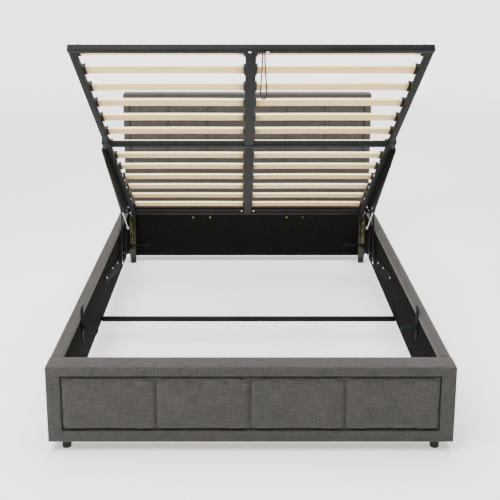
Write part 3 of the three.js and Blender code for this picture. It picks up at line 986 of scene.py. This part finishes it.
def makeStrutCollars():
    foot = jointPlace("strut_swing")
    reach, drop = steelLook["strutPivot"]
    along = onPlatform([0, reach, -drop]) - foot
    span = np.linalg.norm(along)
    start = span - steelLook["barrel"]
    profile = np.array([(5, -9), (7, -9), (11.4, -4), (11.4, 10), (10.2, 12), (5, 12), (5, -9)]) * mm
    patches = []
    for side, sign in sides:
        origin = at(foot, sign * steelLook["strutAxis"]) + along / span * start
        patches.append(lathe(profile, along, origin, 20))
    sharpened(makePiece("strut_wiper_collars", joined(patches), plastic, "strut_cylinders"), 50)


makeMechanism()
makePivots()
makeStrutCollars()
print("mechanism made")


# Head end: folded corner channels, lower plates, tie rods and panel screws

cornerLook = {
    "channelX": (668 * mm, 700 * mm), "channelZ": (128 * mm, 332 * mm), "flange": 11 * mm,
    "sheet": 2 * mm, "lowerZ": (42 * mm, 126 * mm), "front": 0.9348, "ease": 0.6 * mm,
    "screwZ": (158 * mm, 205 * mm, 252 * mm, 300 * mm),
    "rodX": 637 * mm, "rodHalf": 42 * mm, "rodRadius": 3 * mm, "ringX": 588 * mm, "braceZ": 117 * mm,
    "panelX": (-325 * mm, -223 * mm, 238 * mm, 334 * mm), "panelZ": 275 * mm,
}


def makeHeadEnd():
    look = cornerLook
    (a, b), (low, high), y, sheet = look["channelX"], look["channelZ"], look["front"], look["sheet"]
    ease = look["ease"]
    plates, lowers, screws = [], [], []
    for side, sign in sides:
        def across(first, second):
            return sorted((sign * first, sign * second))
        x0, x1 = across(a, b)
        plates.append(softBox((x0, y - sheet, low), (x1, y, high), ease))
        i0, i1 = across(a + sheet, (a + b) / 2 - 1 * mm)
        lowers.append(softBox((i0, y - 2 * sheet, low + 3 * mm), (i1, y - sheet, high - 3 * mm), ease))
        for edge in ((a, a + sheet), (b - sheet, b)):
            e0, e1 = across(*edge)
            plates.append(softBox((e0, y - look["flange"], low), (e1, y - sheet * 0.5, high), ease))
        lowers.append(softBox((x0, y - sheet, look["lowerZ"][0]), (x1, y, look["lowerZ"][1]), ease))
        screws += [(sign * (a + 3 * b) / 4, y - sheet, z) for z in look["screwZ"]]
        end, thick = look["rodHalf"], look["rodRadius"]
        rod = lathe([(0, -end), (thick, -end), (thick, end), (0, end)], (1, 0, 0),
                    (sign * look["rodX"], y - 5 * mm, look["braceZ"]), 10)
        ring = lathe(np.array([(3.2, -1.5), (9, -1.5), (9, 1.5), (3.2, 1.5), (3.2, -1.5)]) * mm,
                     (0, 1, 0), (sign * look["ringX"], y - 5 * mm, look["braceZ"]), 18)
        sharpened(makePiece(side + "_corner_brace", joined([rod, ring]), powderCoat, "bed_base"))
    makePiece("corner_channels", joined(plates), yellowZinc, "bed_base")
    makePiece("corner_lower_plates", joined(lowers), darkZinc, "bed_base")
    makeFasteners("channel_screws", "bed_base", yellowZinc, screws, (0, -1, 0), 6 * mm, 3.5 * mm)
    panelFront = corners("head_panel")[0][1]
    spots = [(x, panelFront, look["panelZ"]) for x in look["panelX"]]
    makeFasteners("panel_screws", "bed_base", yellowZinc, spots, (0, -1, 0), 6 * mm, 3 * mm)


def makeFootBarBolts():
    spots = onPlatform([[x * mm, platformReach, -half] for x in (-4, 60)])
    down = onPlatform([0, 0, -1]) - onPlatform([0, 0, 0])
    makeFasteners("foot_bar_bolts", "platform", brightZinc, list(spots), down, 6.5 * mm, 4 * mm)
    along = onPlatform([0, 1, 0]) - onPlatform([0, 0, 0])
    spots = onPlatform([[x * mm, half + 2.4 * mm, 0] for x in (-33, 33)])
    makeFasteners("rail_end_bolts", "platform", brightZinc, list(spots), along, 5 * mm, 3.4 * mm)


makeHeadEnd()
makeFootBarBolts()
print("fittings made")


# Floor and lights

studioLook = {
    "floorRadius": 40.0,
    "world": (1.0, 1.0, 1.0, 1.0),
    "worldStrength": 0.5,
    "floorGlow": (0.55, 2.6),
    "glowReach": (2.5, 9.0),
    "key": {"place": (-1.8, -2.6, 4.2), "aim": (0, -0.2, 0.4), "size": 2.6, "power": 330},
    "top": {"place": (0.2, 0.4, 4.6), "aim": (0, 0.1, 0.3), "size": 4.0, "power": 520},
    "back": {"place": (0.5, 4.6, 3.2), "aim": (0, 0.6, 0.6), "size": 3.0, "power": 60},
}


def makeFloor():
    # Rings of a disc, each half as wide again as the last. The floor glows more with its
    # distance from the bed, so that it stays pale to its far edge.
    material, tree, shader = newMaterial("paleStudioFloor")
    place = addNode(tree, "ShaderNodeTexCoord").outputs["Object"]
    cloud = addNode(tree, "ShaderNodeTexNoise", {"Vector": place, "Scale": 1.4, "Detail": 2.0})
    tree.links.new(ramp(tree, cloud.outputs["Fac"], toLinear("ededec"), toLinear("f2f2f1")),
                   shader.inputs["Base Color"])
    setShader(shader, Roughness=0.85)
    away = addNode(tree, "ShaderNodeVectorMath", {"Vector": place}, operation="LENGTH").outputs["Value"]
    (near, far), (nearGlow, farGlow) = studioLook["glowReach"], studioLook["floorGlow"]
    glow = addNode(tree, "ShaderNodeMapRange", {
        "Value": away, "From Min": near, "From Max": far, "To Min": nearGlow, "To Max": farGlow,
    })
    tree.links.new(glow.outputs["Result"], shader.inputs["Emission Strength"])
    setShader(shader, **{"Emission Color": (1, 1, 1, 1)})
    radius = np.concatenate([[0], studioLook["floorRadius"] / 1.5 ** np.arange(9)[::-1]])
    angle = np.linspace(0, math.tau, 64, endpoint=False)
    points = np.zeros((len(radius), len(angle), 3))
    points[..., 0] = radius[:, None] * np.cos(angle)
    points[..., 1] = radius[:, None] * np.sin(angle)
    flat, quads = gridPatch(points, closedColumns=True)
    mesh = bpy.data.meshes.new("studio_floor")
    mesh.from_pydata(flat, [], quads.tolist())
    mesh.materials.append(material)
    floor = bpy.data.objects.new("studio_floor", mesh)
    bpy.context.scene.collection.objects.link(floor)


def makeLight(name):
    look = studioLook[name]
    data = bpy.data.lights.new(name + "_light", "AREA")
    data.size = look["size"]
    data.energy = look["power"]
    lamp = bpy.data.objects.new(name + "_light", data)
    bpy.context.scene.collection.objects.link(lamp)
    lamp.location = look["place"]
    lamp.rotation_euler = (Vector(look["aim"]) - lamp.location).to_track_quat("-Z", "Y").to_euler()


def makeWorld():
    world = bpy.data.worlds.new("studio")
    world.use_nodes = True
    sky = world.node_tree.nodes["Background"]
    sky.inputs["Color"].default_value = studioLook["world"]
    sky.inputs["Strength"].default_value = studioLook["worldStrength"]
    bpy.context.scene.world = world


makeFloor()
makeWorld()
for name in ("key", "top", "back"):
    makeLight(name)
print("studio made")
